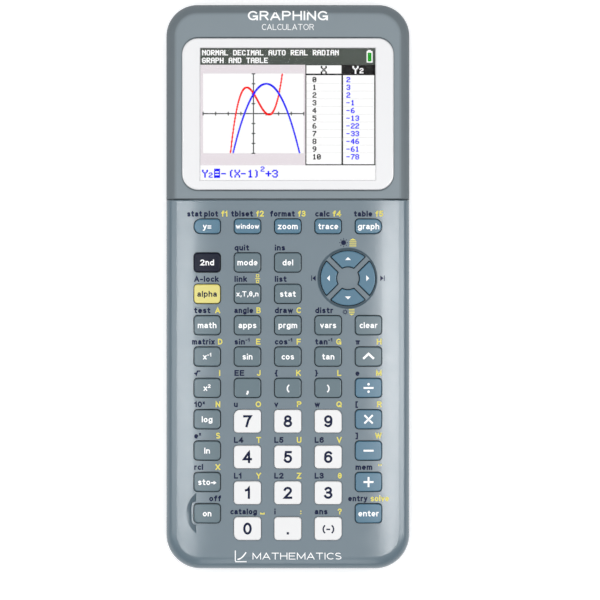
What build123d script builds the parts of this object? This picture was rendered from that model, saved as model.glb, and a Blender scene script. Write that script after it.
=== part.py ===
from build123d import *
import os
from dataclasses import dataclass

# Graphing calculator, lying on its back. Millimetres, +Z out of the key face,
# +Y towards the screen end, +X to the right, origin under the middle of the case.

# Case
CASE_WIDTH = 82.2
CASE_LENGTH = 190.5
TOP_CORNER = 10.5
BOTTOM_CORNER = 11.6
FOOT_HEIGHT = 0.5
SPLIT_Z = 8.2
FACE_Z = 14.4
SEAM_Y = 29.4
SEAM_GAP = 0.24
SEAM_CHAMFER = 0.3
TONGUE_WIDTH = 65.0
WALL = 2.2
BACK_WALL = 1.6
FRONT_WALL = 1.8
FRONT_EDGE_ROUND = 4.2
BACK_EDGE_ROUND = 4.4
INNER_ROUND = 2.8
CEILING_Z = FACE_Z - FRONT_WALL
FLOOR_Z = FOOT_HEIGHT + BACK_WALL

# Crown of the front: flat in the middle, falling on a large arc to both sides
CROWN_FLAT = 20.4
CROWN_RADIUS = 120.0

# Keys
COLUMN_PITCH = 13.6
TOP_ROW_Y = 20.34
ROW_START_Y = 8.15
ROW_PITCH = 10.57
NUMBER_START_Y = -45.34
NUMBER_PITCH = 12.06
KEY_WIDTH = 8.8
KEY_DEPTH = 6.35
TOP_KEY_DEPTH = 4.85
NUMBER_KEY_WIDTH = 9.14
NUMBER_KEY_DEPTH = 7.74
KEY_CORNER = 1.2
END_KEY_CORNER = 2.3
PAD_CORNER = 2.1
KEY_GAP = 0.27
NUMBER_KEY_GAP = 0.13
KEY_RISE = 1.2
KEY_EDGE_ROUND = 0.35
FLANGE_WIDTH = 0.7
FLANGE_THICKNESS = 0.8
FLANGE_GAP = 0.1
CAP_WALL = 1.0
CAP_ROOF = 1.2
PLUNGER_SIDE = 2.2
PLUNGER_REACH = 0.7
ARROW_FLANGE = 0.6
ARROW_WALL = 0.9
ARROW_ROOF = 1.1
DOME_GAP = 0.05

# Arrow keys, in a round dish
DISH_X = 20.28
DISH_Y = 2.84
DISH_RADIUS = 9.55
DISH_SLOPE = 45.0
DISH_FLOOR_Z = 13.6
ARROW_OUTER = 9.2
ARROW_INNER = 3.95
ARROW_LINE_OFFSET = 1.06
ARROW_CORNER = 0.3
ARROW_TOP_Z = 15.2

# Finger scoop on the outer side of the ON key
SCOOP_RADIUS = 7.75
SCOOP_DEPTH = 2.2
SCOOP_RIM_Z = 13.95
SCOOP_INNER_X = -30.9
SCOOP_BACKING_Z = 11.6
SCOOP_BACKING_GAP = 0.95
COLLAR_WIDTH = 0.65

# Window and screen
WINDOW_Y = 58.2
WINDOW_WIDTH = 71.3
WINDOW_HEIGHT = 51.1
WINDOW_CORNER = 5.4
WINDOW_TOP_Z = 14.8
WINDOW_SEAT_Z = 13.0
WINDOW_SIDE_GAP = 0.15
WINDOW_END_GAP = 0.45
SCREEN_WIDTH = 59.05
SCREEN_HEIGHT = 44.5
LENS_THICKNESS = 0.9
LENS_LAP = 0.85
LEDGE_WIDTH = 62.4
LEDGE_HEIGHT = 48.0
LEDGE_Z = 11.6
LEDGE_THICKNESS = 1.5
BEZEL_ROUND = 0.5
LIP_CHAMFER = 0.3
LENS_GAP = 0.1
PANEL_WIDTH = 66.0
PANEL_HEIGHT = 52.0
PANEL_Z = 9.9
PANEL_STEP_Z = 11.4
PANEL_TOP_Z = 12.8
PANEL_STEP_GAP = 0.6

# Main board, dome mat and what sits on the board
BOARD_WIDTH = 65.2
BOARD_LENGTH = 178.0
BOARD_Z = 7.7
BOARD_THICKNESS = 1.0
MAT_WIDTH = 64.0
MAT_TOP_Y = 25.4
MAT_BOTTOM_Y = -88.0
MAT_THICKNESS = 0.8
DOME_BASE_RADIUS = 2.3
DOME_TOP_RADIUS = 1.4
DOME_WALL = 0.45
CONNECTOR_Z = 8.2
PORT_GAP = 0.3
USB_X = -14.0
USB_WIDTH = 7.7
USB_HEIGHT = 3.9
USB_LENGTH = 9.0
USB_SHELL = 0.4
USB_SETBACK = 1.3
USB_TONGUE_WIDTH = 4.7
USB_TONGUE_THICKNESS = 0.9
USB_TONGUE_SETBACK = 1.5
JACK_X = 14.0
JACK_WIDTH = 6.2
JACK_HEIGHT = 4.8
JACK_LENGTH = 9.6
JACK_SETBACK = 1.0
JACK_COLLAR_LENGTH = 1.6
JACK_BORE_RADIUS = 1.28
JACK_BORE_LENGTH = 8.5
LIGHT_X = -22.0
LIGHT_RADIUS = 0.9
LIGHT_GAP = 0.15
LIGHT_LENGTH = 7.5
LIGHT_SETBACK = 0.6
RESET_POINT = (16.0, 30.0)
RESET_SIDE = 3.6
RESET_HEIGHT = 2.0
RESET_STUD_RADIUS = 0.9
RESET_STUD_HEIGHT = 0.8
RESET_HOLE_RADIUS = 0.8

# Battery bay and door
BAY_Y = -20.0
BAY_WIDTH = 49.0
BAY_LENGTH = 61.0
BAY_WALL = 1.2
BAY_TOP_Z = 7.4
DOOR_WIDTH = 52.0
DOOR_LENGTH = 64.0
DOOR_PLATE = 1.0
DOOR_GAP = 0.15
DOOR_CORNER = 2.5
DOOR_RIM_GAP = 0.2
DOOR_RIM_WIDTH = 1.0
DOOR_RIM_TOP_Z = 2.4
TAB_RADIUS = 3.3
TAB_REACH = 5.0
TAB_TOP_Z = 2.7
TAB_BOSS_RADIUS = 4.3
TAB_BOSS_TOP_Z = 7.0
GRIP_COUNT = 3
GRIP_PITCH = 2.6
GRIP_LENGTH = 16.0
GRIP_WIDTH = 1.3
GRIP_DEPTH = 0.45
GRIP_OFFSET = -22.0
BATTERY_WIDTH = 45.0
BATTERY_LENGTH = 59.0
BATTERY_THICKNESS = 4.7
BATTERY_Z = 2.6
BATTERY_CORNER = 1.5
BATTERY_ROUND = 0.8
DOOR_SCREW_Y = BAY_Y + DOOR_LENGTH / 2 + 3.4
DOOR_SCREW_SEAT_Z = 1.7
DOOR_HEAD_RADIUS = 1.7
DOOR_HEAD_THICKNESS = 1.0
DOOR_SHANK_RADIUS = 0.75
DOOR_SCREW_TOP_Z = 6.0

# Screws
POST_X = 35.8
POST_YS = [-82.0, 22.5, 36.3, 84.0]
POST_RADIUS = 2.3
HEAD_SEAT_Z = 3.2
HEAD_RADIUS = 2.0
HEAD_THICKNESS = 1.4
SCREW_RADIUS = 1.0
SCREW_TOP_Z = 12.0
SCREW_GAP = 0.15
HEAD_GAP = 0.3
HEAD_SEAT_THICKNESS = 1.2

# Feet, and the ribs that carry the board: x, y, width, length
FOOT_X = 31.0
FOOT_Y = 78.0
FOOT_RADIUS = 3.6
BOARD_RIBS = [(0, 70, 56, 1.2), (-28, 46, 1.2, 36), (28, 46, 1.2, 36), (0, -74, 56, 1.2)]

# Overlap that joins one solid to the next
JOIN = 0.5

CASE_TOP_Y = CASE_LENGTH / 2

os.makedirs("parts", exist_ok=True)


@dataclass
class Key:
    """One cap of the keypad grid. Corners are radii, in the order
    upper left, upper right, lower left, lower right."""

    name: str
    x: float
    y: float
    width: float = KEY_WIDTH
    depth: float = KEY_DEPTH
    corners: tuple = (KEY_CORNER,) * 4
    gap: float = KEY_GAP


def save(piece, name):
    piece.part.label = name
    export_step(piece.part, f"parts/{name}.step")


# ---------------------------------------------------------------- key layout

TOP_ROW = ["y_equals", "window", "zoom", "trace", "graph"]
GRID_ROWS = [
    ["2nd", "mode", "del"],
    ["alpha", "variable", "stat"],
    ["math", "apps", "prgm", "vars", "clear"],
    ["inverse", "sin", "cos", "tan", "power"],
    ["square", "comma", "left_bracket", "right_bracket", "divide"],
    ["log", None, None, None, "multiply"],
    ["ln", None, None, None, "minus"],
    ["store", None, None, None, "plus"],
    ["on", None, None, None, "enter"],
]
NUMBER_ROWS = [["7", "8", "9"], ["4", "5", "6"], ["1", "2", "3"], ["0", "point", "negative"]]
ODD_CORNERS = {
    "y_equals": (END_KEY_CORNER, KEY_CORNER, END_KEY_CORNER, KEY_CORNER),
    "graph": (KEY_CORNER, END_KEY_CORNER, KEY_CORNER, END_KEY_CORNER),
    "7": (PAD_CORNER, KEY_CORNER, KEY_CORNER, KEY_CORNER),
    "9": (KEY_CORNER, PAD_CORNER, KEY_CORNER, KEY_CORNER),
    "0": (KEY_CORNER, KEY_CORNER, PAD_CORNER, KEY_CORNER),
    "negative": (KEY_CORNER, KEY_CORNER, KEY_CORNER, PAD_CORNER),
}
ARROWS = {"right": 0, "up": 90, "left": 180, "down": 270}


def grid_key(word, column, y, width, depth, gap=KEY_GAP):
    corners = ODD_CORNERS.get(word, (KEY_CORNER,) * 4)
    return Key(f"key_{word}", (column - 2) * COLUMN_PITCH, y, width, depth, corners, gap)


keys = [grid_key(word, i, TOP_ROW_Y, KEY_WIDTH, TOP_KEY_DEPTH) for i, word in enumerate(TOP_ROW)]
for row, words in enumerate(GRID_ROWS):
    row_y = ROW_START_Y - row * ROW_PITCH
    keys += [grid_key(word, i, row_y, KEY_WIDTH, KEY_DEPTH) for i, word in enumerate(words) if word]
for row, words in enumerate(NUMBER_ROWS):
    row_y = NUMBER_START_Y - row * NUMBER_PITCH
    for i, word in enumerate(words, start=1):
        size = (NUMBER_KEY_WIDTH, NUMBER_KEY_DEPTH, NUMBER_KEY_GAP)
        keys.append(grid_key(word, i, row_y, *size))
on_key = next(key for key in keys if key.name == "key_on")
store_key = next(key for key in keys if key.name == "key_store")


# ------------------------------------------------------------ shared outlines


def case_outline(base, inset=0.0):
    """Plan outline of the case at height base, pulled in all round by inset."""
    with BuildSketch(Plane.XY.offset(base)) as outline:
        Rectangle(CASE_WIDTH - 2 * inset, CASE_LENGTH - 2 * inset)
        fillet(outline.vertices().group_by(Axis.Y)[-1], TOP_CORNER - inset)
        fillet(outline.vertices().group_by(Axis.Y)[0], BOTTOM_CORNER - inset)
    return outline.sketch


def crown_section(rise=0.0):
    """Cross-section of everything under the crowned front, lifted by rise."""
    radius = CROWN_RADIUS + rise
    side = 2 * CROWN_FLAT + 12.0
    drop = radius - (radius**2 - (side - CROWN_FLAT) ** 2) ** 0.5
    top = FACE_Z + rise
    slide = (side + CROWN_FLAT) / 2
    middle_drop = radius - (radius**2 - (slide - CROWN_FLAT) ** 2) ** 0.5
    with BuildSketch(Plane.XZ) as section:
        with BuildLine():
            Line((-CROWN_FLAT, top), (CROWN_FLAT, top))
            ThreePointArc((CROWN_FLAT, top), (slide, top - middle_drop), (side, top - drop))
            Polyline((side, top - drop), (side, 0), (-side, 0), (-side, top - drop))
            ThreePointArc((-side, top - drop), (-slide, top - middle_drop), (-CROWN_FLAT, top))
        make_face()
    return section.sketch


def key_outline(key, base, grow=0.0):
    """Outline of a grid key at height base, grown all round."""
    left, right = -key.width / 2 - grow, key.width / 2 + grow
    low, high = -key.depth / 2 - grow, key.depth / 2 + grow
    points = [(left, high), (right, high), (left, low), (right, low)]
    with BuildSketch(Plane.XY.offset(base).move(Location((key.x, key.y, 0)))) as outline:
        Rectangle(right - left, high - low)
        for point, radius in zip(points, key.corners):
            fillet(outline.vertices().sort_by_distance(point)[0], radius + grow)
    return outline.sketch


def arrow_outline(angle, base, grow=0.0):
    """Outline of one arrow key: a quarter of a ring, cut back from the diagonals."""
    apex = (ARROW_LINE_OFFSET - grow) * 2**0.5
    reach = 2 * DISH_RADIUS
    plane = Plane(origin=(DISH_X, DISH_Y, base)).rotated((0, 0, angle))
    with BuildSketch(plane) as outline:
        Circle(ARROW_OUTER + grow)
        Circle(ARROW_INNER - grow, mode=Mode.SUBTRACT)
        with BuildLine(mode=Mode.PRIVATE) as wedge:
            Polyline((apex, 0), (apex + reach, reach), (apex + reach, -reach), close=True)
        make_face(wedge.edges(), mode=Mode.INTERSECT)
        fillet(outline.vertices(), ARROW_CORNER)
    return outline.sketch


def rounded_plate(width, length, y, base, corner):
    with BuildSketch(Plane((0, y, base))) as plate:
        RectangleRounded(width, length, corner)
    return plate.sketch


# --------------------------------------------------------------- front shells

with BuildPart() as front_blank:
    extrude(case_outline(SPLIT_Z), amount=FACE_Z)
    extrude(crown_section(), amount=CASE_LENGTH, both=True, mode=Mode.INTERSECT)
    rim = front_blank.edges().filter_by(lambda edge: edge.center().Z > SPLIT_Z + 3.5)
    rim = rim.filter_by(lambda edge: abs(edge.center().X) > 30 or abs(edge.center().Y) > 60)
    fillet(rim, FRONT_EDGE_ROUND)

with BuildPart() as front_hollow:
    extrude(case_outline(SPLIT_Z - 1, WALL), amount=CEILING_Z - SPLIT_Z + 1)
    fillet(front_hollow.faces().sort_by(Axis.Z)[-1].edges(), INNER_ROUND)


def front_posts(ys):
    """Screw posts that hang from the inside of a front shell."""
    with BuildPart() as posts:
        with BuildSketch(Plane.XY.offset(SPLIT_Z + 0.1)):
            with Locations(*[(side * POST_X, y) for y in ys for side in (-1, 1)]):
                Circle(POST_RADIUS)
        extrude(amount=CEILING_Z - SPLIT_Z)
    return posts.part


def post_pilots(ys):
    """Pilot holes up the middle of those posts."""
    with BuildPart() as pilots:
        with BuildSketch(Plane.XY.offset(SPLIT_Z)):
            with Locations(*[(side * POST_X, y) for y in ys for side in (-1, 1)]):
                Circle(SCREW_RADIUS + 0.05)
        extrude(amount=SCREW_TOP_Z - SPLIT_Z + 0.3)
    return pilots.part


def port_cutters():
    """Clearance round the socket, the jack and the light at the top end."""
    with BuildPart() as cutters:
        with BuildSketch(Plane.XZ.offset(-CASE_TOP_Y - 1)):
            with Locations((USB_X, CONNECTOR_Z)):
                RectangleRounded(USB_WIDTH + 2 * PORT_GAP, USB_HEIGHT + 2 * PORT_GAP, 0.8)
            with Locations((JACK_X, CONNECTOR_Z)):
                Circle(JACK_HEIGHT / 2 + PORT_GAP)
            with Locations((LIGHT_X, CONNECTOR_Z)):
                Circle(LIGHT_RADIUS + LIGHT_GAP)
        extrude(amount=6)
    return cutters.part


with BuildPart() as display_housing:
    add(front_blank.part)
    add(front_hollow.part, mode=Mode.SUBTRACT)
    add(front_posts(POST_YS[2:]))
    shelf = rounded_plate(WINDOW_WIDTH + 3, WINDOW_HEIGHT + 4, WINDOW_Y, LEDGE_Z, 3)
    extrude(shelf, amount=LEDGE_THICKNESS)
    seam_plane = Plane(origin=(0, SEAM_Y + SEAM_GAP / 2, 0), z_dir=(0, 1, 0))
    split(bisect_by=seam_plane, keep=Keep.TOP)
    outer_width = WINDOW_WIDTH + 2 * WINDOW_SIDE_GAP
    outer_height = WINDOW_HEIGHT + 2 * WINDOW_END_GAP
    recess = rounded_plate(outer_width, outer_height, WINDOW_Y, WINDOW_SEAT_Z, WINDOW_CORNER)
    extrude(recess, amount=5, mode=Mode.SUBTRACT)
    ledge = rounded_plate(LEDGE_WIDTH, LEDGE_HEIGHT, WINDOW_Y, SPLIT_Z, 1)
    extrude(ledge, amount=9, mode=Mode.SUBTRACT)
    add(post_pilots(POST_YS[2:]), mode=Mode.SUBTRACT)
    add(port_cutters(), mode=Mode.SUBTRACT)
    seam_edges = display_housing.edges().filter_by_position(
        Axis.Y, SEAM_Y + SEAM_GAP / 2 - 0.01, SEAM_Y + SEAM_GAP / 2 + 0.01
    )
    chamfer(seam_edges.filter_by(lambda edge: edge.center().Z > CEILING_Z + 0.3), SEAM_CHAMFER)
save(display_housing, "display_housing")

with BuildPart() as scoop:
    with Locations((on_key.x, on_key.y, SCOOP_RIM_Z - SCOOP_DEPTH)):
        ball_radius = (SCOOP_RADIUS**2 + SCOOP_DEPTH**2) / (2 * SCOOP_DEPTH)
        Sphere(ball_radius, align=(Align.CENTER, Align.CENTER, Align.MIN))
    with BuildSketch(Plane.XY.offset(SPLIT_Z)):
        with Locations((SCOOP_INNER_X - 10, on_key.y)):
            Rectangle(20, 30)
    extrude(amount=10, mode=Mode.INTERSECT)
    extrude(key_outline(on_key, SPLIT_Z, KEY_GAP + COLLAR_WIDTH), amount=12, mode=Mode.SUBTRACT)

with BuildPart() as scoop_backing:
    with BuildSketch(Plane.XY.offset(SCOOP_BACKING_Z)):
        with Locations((on_key.x, on_key.y)):
            Circle(SCOOP_RADIUS + 0.6)
        with Locations((SCOOP_INNER_X + 1 - 10, on_key.y)):
            Rectangle(20, 30, mode=Mode.INTERSECT)
    extrude(amount=CEILING_Z - SCOOP_BACKING_Z + 0.1)
    for key in (on_key, store_key):
        extrude(key_outline(key, SPLIT_Z, SCOOP_BACKING_GAP), amount=12, mode=Mode.SUBTRACT)

with BuildPart() as keypad_faceplate:
    add(front_blank.part)
    add(front_hollow.part, mode=Mode.SUBTRACT)
    add(front_posts(POST_YS[:2]))
    seam_plane = Plane(origin=(0, SEAM_Y - SEAM_GAP / 2, 0), z_dir=(0, 1, 0))
    split(bisect_by=seam_plane, keep=Keep.BOTTOM)
    add(scoop_backing.part)
    add(scoop.part, mode=Mode.SUBTRACT)
    with BuildSketch(Plane.XY.offset(DISH_FLOOR_Z)):
        with Locations((DISH_X, DISH_Y)):
            Circle(DISH_RADIUS)
    extrude(amount=3, taper=-DISH_SLOPE, mode=Mode.SUBTRACT)
    for key in keys:
        extrude(key_outline(key, SPLIT_Z, key.gap), amount=9, mode=Mode.SUBTRACT)
    for angle in ARROWS.values():
        extrude(arrow_outline(angle, SPLIT_Z, KEY_GAP), amount=9, mode=Mode.SUBTRACT)
    add(post_pilots(POST_YS[:2]), mode=Mode.SUBTRACT)
    # Tongue that reaches under the display housing and closes the seam
    with BuildSketch(Plane.XY.offset(CEILING_Z - 1.6)):
        with Locations((0, SEAM_Y - 0.8)):
            Rectangle(TONGUE_WIDTH, 3.8)
    extrude(amount=1.5)
    with BuildSketch(Plane.XY.offset(CEILING_Z - 1.6)):
        with Locations((0, SEAM_Y - 1.6)):
            Rectangle(TONGUE_WIDTH, 2.2)
    extrude(amount=1.7)
    seam_edges = keypad_faceplate.edges().filter_by_position(
        Axis.Y, SEAM_Y - SEAM_GAP / 2 - 0.01, SEAM_Y - SEAM_GAP / 2 + 0.01
    )
    chamfer(seam_edges.filter_by(lambda edge: edge.center().Z > CEILING_Z + 0.3), SEAM_CHAMFER)
save(keypad_faceplate, "keypad_faceplate")

# -------------------------------------------------------------------- window

with BuildPart() as display_window:
    lens_z = WINDOW_SEAT_Z + 0.05
    extrude(
        rounded_plate(WINDOW_WIDTH, WINDOW_HEIGHT, WINDOW_Y, lens_z, WINDOW_CORNER),
        amount=WINDOW_TOP_Z - lens_z,
    )
    fillet(display_window.faces().sort_by(Axis.Z)[-1].edges(), BEZEL_ROUND)
    with BuildSketch(Plane((0, WINDOW_Y, lens_z))):
        Rectangle(SCREEN_WIDTH, SCREEN_HEIGHT)
    extrude(amount=3, mode=Mode.SUBTRACT)
    lip = display_window.faces().sort_by(Axis.Z)[-1].inner_wires()[0].edges()
    chamfer(lip, LIP_CHAMFER)
    lens_width = SCREEN_WIDTH + 2 * LENS_LAP
    lens_height = SCREEN_HEIGHT + 2 * LENS_LAP
    with BuildSketch(Plane((0, WINDOW_Y, lens_z))):
        Rectangle(lens_width + 2 * LENS_GAP, lens_height + 2 * LENS_GAP)
    extrude(amount=LENS_THICKNESS + LENS_GAP / 2, mode=Mode.SUBTRACT)
    lens = rounded_plate(lens_width, lens_height, WINDOW_Y, lens_z, BEZEL_ROUND)
    extrude(lens, amount=LENS_THICKNESS)
save(display_window, "display_window")

with BuildPart() as display_module:
    frame = rounded_plate(PANEL_WIDTH, PANEL_HEIGHT, WINDOW_Y, PANEL_Z, 1.5)
    extrude(frame, amount=PANEL_STEP_Z - PANEL_Z)
    step_width = LEDGE_WIDTH - PANEL_STEP_GAP
    step_height = LEDGE_HEIGHT - PANEL_STEP_GAP
    step = rounded_plate(step_width, step_height, WINDOW_Y, PANEL_STEP_Z, 0.8)
    extrude(step, amount=PANEL_TOP_Z - PANEL_STEP_Z)
save(display_module, "display_module")

# ---------------------------------------------------------------------- keys


def cap_plunger(x, y, reach):
    """Post under a cap that presses its dome."""
    bottom = CEILING_Z - FLANGE_GAP - FLANGE_THICKNESS - PLUNGER_REACH
    with BuildSketch(Plane((x, y, bottom))) as post:
        Rectangle(PLUNGER_SIDE, PLUNGER_SIDE)
    return post.sketch, reach - bottom


flange_z = CEILING_Z - FLANGE_GAP - FLANGE_THICKNESS
for key in keys:
    with BuildPart() as cap:
        extrude(key_outline(key, flange_z), amount=FACE_Z)
        extrude(crown_section(KEY_RISE), amount=CASE_LENGTH, both=True, mode=Mode.INTERSECT)
        fillet(cap.faces().sort_by(Axis.Z)[-1].edges(), KEY_EDGE_ROUND)
        extrude(key_outline(key, flange_z, FLANGE_WIDTH), amount=FLANGE_THICKNESS)
        roof_z = FACE_Z + KEY_RISE - CAP_ROOF - 0.3
        hollow = key_outline(key, flange_z, -CAP_WALL)
        extrude(hollow, amount=roof_z - flange_z, mode=Mode.SUBTRACT)
        post, height = cap_plunger(key.x, key.y, roof_z + 0.1)
        extrude(post, amount=height)
    save(cap, key.name)

for word, angle in ARROWS.items():
    with BuildPart() as cap:
        extrude(arrow_outline(angle, flange_z), amount=ARROW_TOP_Z - flange_z)
        fillet(cap.faces().sort_by(Axis.Z)[-1].edges(), KEY_EDGE_ROUND)
        extrude(arrow_outline(angle, flange_z, ARROW_FLANGE), amount=FLANGE_THICKNESS)
        hollow = arrow_outline(angle, flange_z, -ARROW_WALL)
        extrude(hollow, amount=ARROW_TOP_Z - ARROW_ROOF - flange_z, mode=Mode.SUBTRACT)
        middle = Vector((ARROW_OUTER + ARROW_INNER) / 2, 0).rotate(Axis.Z, angle)
        post, height = cap_plunger(DISH_X + middle.X, DISH_Y + middle.Y, ARROW_TOP_Z - ARROW_ROOF + 0.1)
        extrude(post, amount=height)
    save(cap, f"key_{word}")

# ------------------------------------------------------------------ dome mat

arrow_middle = (ARROW_OUTER + ARROW_INNER) / 2
arrow_spots = [
    Vector(arrow_middle, 0).rotate(Axis.Z, angle) + Vector(DISH_X, DISH_Y)
    for angle in ARROWS.values()
]
dome_spots = [(key.x, key.y) for key in keys] + [(spot.X, spot.Y) for spot in arrow_spots]
mat_z = BOARD_Z + BOARD_THICKNESS + 0.02
mat_top_z = mat_z + MAT_THICKNESS
dome_height = flange_z - PLUNGER_REACH - DOME_GAP - mat_top_z

with BuildPart() as dome_mat:
    mat_middle = (MAT_TOP_Y + MAT_BOTTOM_Y) / 2
    extrude(
        rounded_plate(MAT_WIDTH, MAT_TOP_Y - MAT_BOTTOM_Y, mat_middle, mat_z, 3.0),
        amount=MAT_THICKNESS,
    )
    with Locations(*[(x, y, mat_top_z) for x, y in dome_spots]):
        Cone(
            DOME_BASE_RADIUS,
            DOME_TOP_RADIUS,
            dome_height,
            align=(Align.CENTER, Align.CENTER, Align.MIN),
        )
    with Locations(*[(x, y, mat_z) for x, y in dome_spots]):
        Cone(
            DOME_BASE_RADIUS,
            DOME_TOP_RADIUS - DOME_WALL,
            mat_top_z + dome_height - DOME_WALL - mat_z,
            align=(Align.CENTER, Align.CENTER, Align.MIN),
            mode=Mode.SUBTRACT,
        )
save(dome_mat, "dome_mat")

# ---------------------------------------------------------------- main board

BOARD_PARTS = [
    # width, length, height, x, y of the parts under the board
    (12.0, 12.0, 1.2, -8.0, 52.0),
    (9.0, 13.0, 1.0, 9.0, 52.0),
    (6.0, 8.0, 1.6, 22.0, 62.0),
    (11.0, 4.6, 3.0, -19.5, 36.0),
    (5.0, 3.2, 1.1, -8.0, 38.0),
    (7.2, 7.2, 2.6, 22.0, 40.0),
]

with BuildPart() as main_board:
    extrude(rounded_plate(BOARD_WIDTH, BOARD_LENGTH, 0, BOARD_Z, 2.0), amount=BOARD_THICKNESS)
    for width, length, height, x, y in BOARD_PARTS:
        with BuildSketch(Plane((x, y, BOARD_Z - height))):
            Rectangle(width, length)
        extrude(amount=height)
    with BuildSketch(Plane((*RESET_POINT, BOARD_Z - RESET_HEIGHT))):
        Rectangle(RESET_SIDE, RESET_SIDE)
    extrude(amount=RESET_HEIGHT)
    with BuildSketch(Plane((*RESET_POINT, BOARD_Z - RESET_HEIGHT - RESET_STUD_HEIGHT))):
        Circle(RESET_STUD_RADIUS)
    extrude(amount=RESET_STUD_HEIGHT + 0.2)
    # USB socket: shell, mouth and tongue
    socket_end = CASE_TOP_Y - USB_SETBACK
    with BuildSketch(Plane.XZ.offset(-socket_end)):
        with Locations((USB_X, CONNECTOR_Z)):
            RectangleRounded(USB_WIDTH, USB_HEIGHT, 0.6)
    extrude(amount=USB_LENGTH)
    with BuildSketch(Plane.XZ.offset(-socket_end)):
        with Locations((USB_X, CONNECTOR_Z)):
            RectangleRounded(USB_WIDTH - 2 * USB_SHELL, USB_HEIGHT - 2 * USB_SHELL, 0.4)
    extrude(amount=USB_LENGTH - 1.0, mode=Mode.SUBTRACT)
    with BuildSketch(Plane.XZ.offset(-socket_end + USB_TONGUE_SETBACK)):
        with Locations((USB_X, CONNECTOR_Z)):
            Rectangle(USB_TONGUE_WIDTH, USB_TONGUE_THICKNESS)
    extrude(amount=USB_LENGTH - USB_TONGUE_SETBACK)
    # Link jack: body, collar and bore
    jack_end = CASE_TOP_Y - JACK_SETBACK
    with BuildSketch(Plane.XZ.offset(-(jack_end - JACK_COLLAR_LENGTH))):
        with Locations((JACK_X, CONNECTOR_Z)):
            Rectangle(JACK_WIDTH, JACK_HEIGHT)
    extrude(amount=JACK_LENGTH - JACK_COLLAR_LENGTH)
    with BuildSketch(Plane.XZ.offset(-jack_end)):
        with Locations((JACK_X, CONNECTOR_Z)):
            Circle(JACK_HEIGHT / 2)
    extrude(amount=JACK_COLLAR_LENGTH)
    with BuildSketch(Plane.XZ.offset(-jack_end)):
        with Locations((JACK_X, CONNECTOR_Z)):
            Circle(JACK_BORE_RADIUS)
    extrude(amount=JACK_BORE_LENGTH, mode=Mode.SUBTRACT)
    # Charge light
    with BuildSketch(Plane.XZ.offset(-(CASE_TOP_Y - LIGHT_SETBACK))):
        with Locations((LIGHT_X, CONNECTOR_Z)):
            Circle(LIGHT_RADIUS)
    extrude(amount=LIGHT_LENGTH)
save(main_board, "main_board")

# ----------------------------------------------------------------- rear case

post_spots = [(side * POST_X, y) for y in POST_YS for side in (-1, 1)]
foot_spots = [(side * FOOT_X, y) for y in (-FOOT_Y, FOOT_Y) for side in (-1, 1)]
join_z = FLOOR_Z - JOIN



def tab_outline(base, inset=0.0):
    """Round screw tab on the end of the battery door, joined to its plate."""
    with BuildSketch(Plane((0, DOOR_SCREW_Y, base))) as outline:
        Circle(TAB_RADIUS - inset)
        with Locations((0, -TAB_REACH / 2)):
            Rectangle(2 * (TAB_RADIUS - inset), TAB_REACH)
    return outline.sketch


with BuildPart() as back_hollow:
    extrude(case_outline(FLOOR_Z, WALL), amount=SPLIT_Z)
    fillet(back_hollow.faces().sort_by(Axis.Z)[0].edges(), INNER_ROUND)

with BuildPart() as rear_case:
    extrude(case_outline(FOOT_HEIGHT), amount=SPLIT_Z - FOOT_HEIGHT)
    fillet(rear_case.faces().sort_by(Axis.Z)[0].edges(), BACK_EDGE_ROUND)
    add(back_hollow.part, mode=Mode.SUBTRACT)
    # Screw posts, with the head's counterbore from the back
    with BuildSketch(Plane.XY.offset(join_z)):
        with Locations(*post_spots):
            Circle(HEAD_RADIUS + 1.3)
    extrude(amount=HEAD_SEAT_Z + HEAD_SEAT_THICKNESS - join_z)
    with BuildSketch(Plane.XY.offset(HEAD_SEAT_Z)):
        with Locations(*post_spots):
            Circle(POST_RADIUS)
    extrude(amount=SPLIT_Z - HEAD_SEAT_Z)
    # Battery bay walls and the boss of the door's screw
    walls = rounded_plate(BAY_WIDTH + 2 * BAY_WALL, BAY_LENGTH + 2 * BAY_WALL, BAY_Y, join_z, 2)
    extrude(walls, amount=BAY_TOP_Z - join_z)
    extrude(rounded_plate(BAY_WIDTH, BAY_LENGTH, BAY_Y, 0, 1), amount=9, mode=Mode.SUBTRACT)
    with BuildSketch(Plane((0, DOOR_SCREW_Y, join_z))):
        Circle(TAB_BOSS_RADIUS)
    extrude(amount=TAB_BOSS_TOP_Z - join_z)
    # Rebate for the door plate and its screw tab
    extrude(
        rounded_plate(DOOR_WIDTH, DOOR_LENGTH, BAY_Y, 0, DOOR_CORNER),
        amount=FOOT_HEIGHT + DOOR_PLATE,
        mode=Mode.SUBTRACT,
    )
    extrude(tab_outline(0), amount=TAB_TOP_Z + 0.1, mode=Mode.SUBTRACT)
    with BuildSketch(Plane((0, DOOR_SCREW_Y, 0))):
        Circle(DOOR_SHANK_RADIUS + 0.05)
    extrude(amount=DOOR_SCREW_TOP_Z + 0.4, mode=Mode.SUBTRACT)
    # Screw holes and counterbores
    with BuildSketch():
        with Locations(*post_spots):
            Circle(SCREW_RADIUS + SCREW_GAP)
    extrude(amount=SPLIT_Z + 1, mode=Mode.SUBTRACT)
    with BuildSketch():
        with Locations(*post_spots):
            Circle(HEAD_RADIUS + HEAD_GAP)
    extrude(amount=HEAD_SEAT_Z, mode=Mode.SUBTRACT)
    # Reset pinhole and the ports' half openings
    with BuildSketch(Plane((*RESET_POINT, 0))):
        Circle(RESET_HOLE_RADIUS)
    extrude(amount=4, mode=Mode.SUBTRACT)
    add(port_cutters(), mode=Mode.SUBTRACT)
    # Ribs that carry the board
    for x, y, width, length in BOARD_RIBS:
        with BuildSketch(Plane((x, y, join_z))):
            Rectangle(width, length)
        extrude(amount=BOARD_Z - 0.05 - join_z)
    # Feet
    with BuildSketch(Plane.XY):
        with Locations(*foot_spots):
            Circle(FOOT_RADIUS)
    extrude(amount=FOOT_HEIGHT + 0.2)
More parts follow.
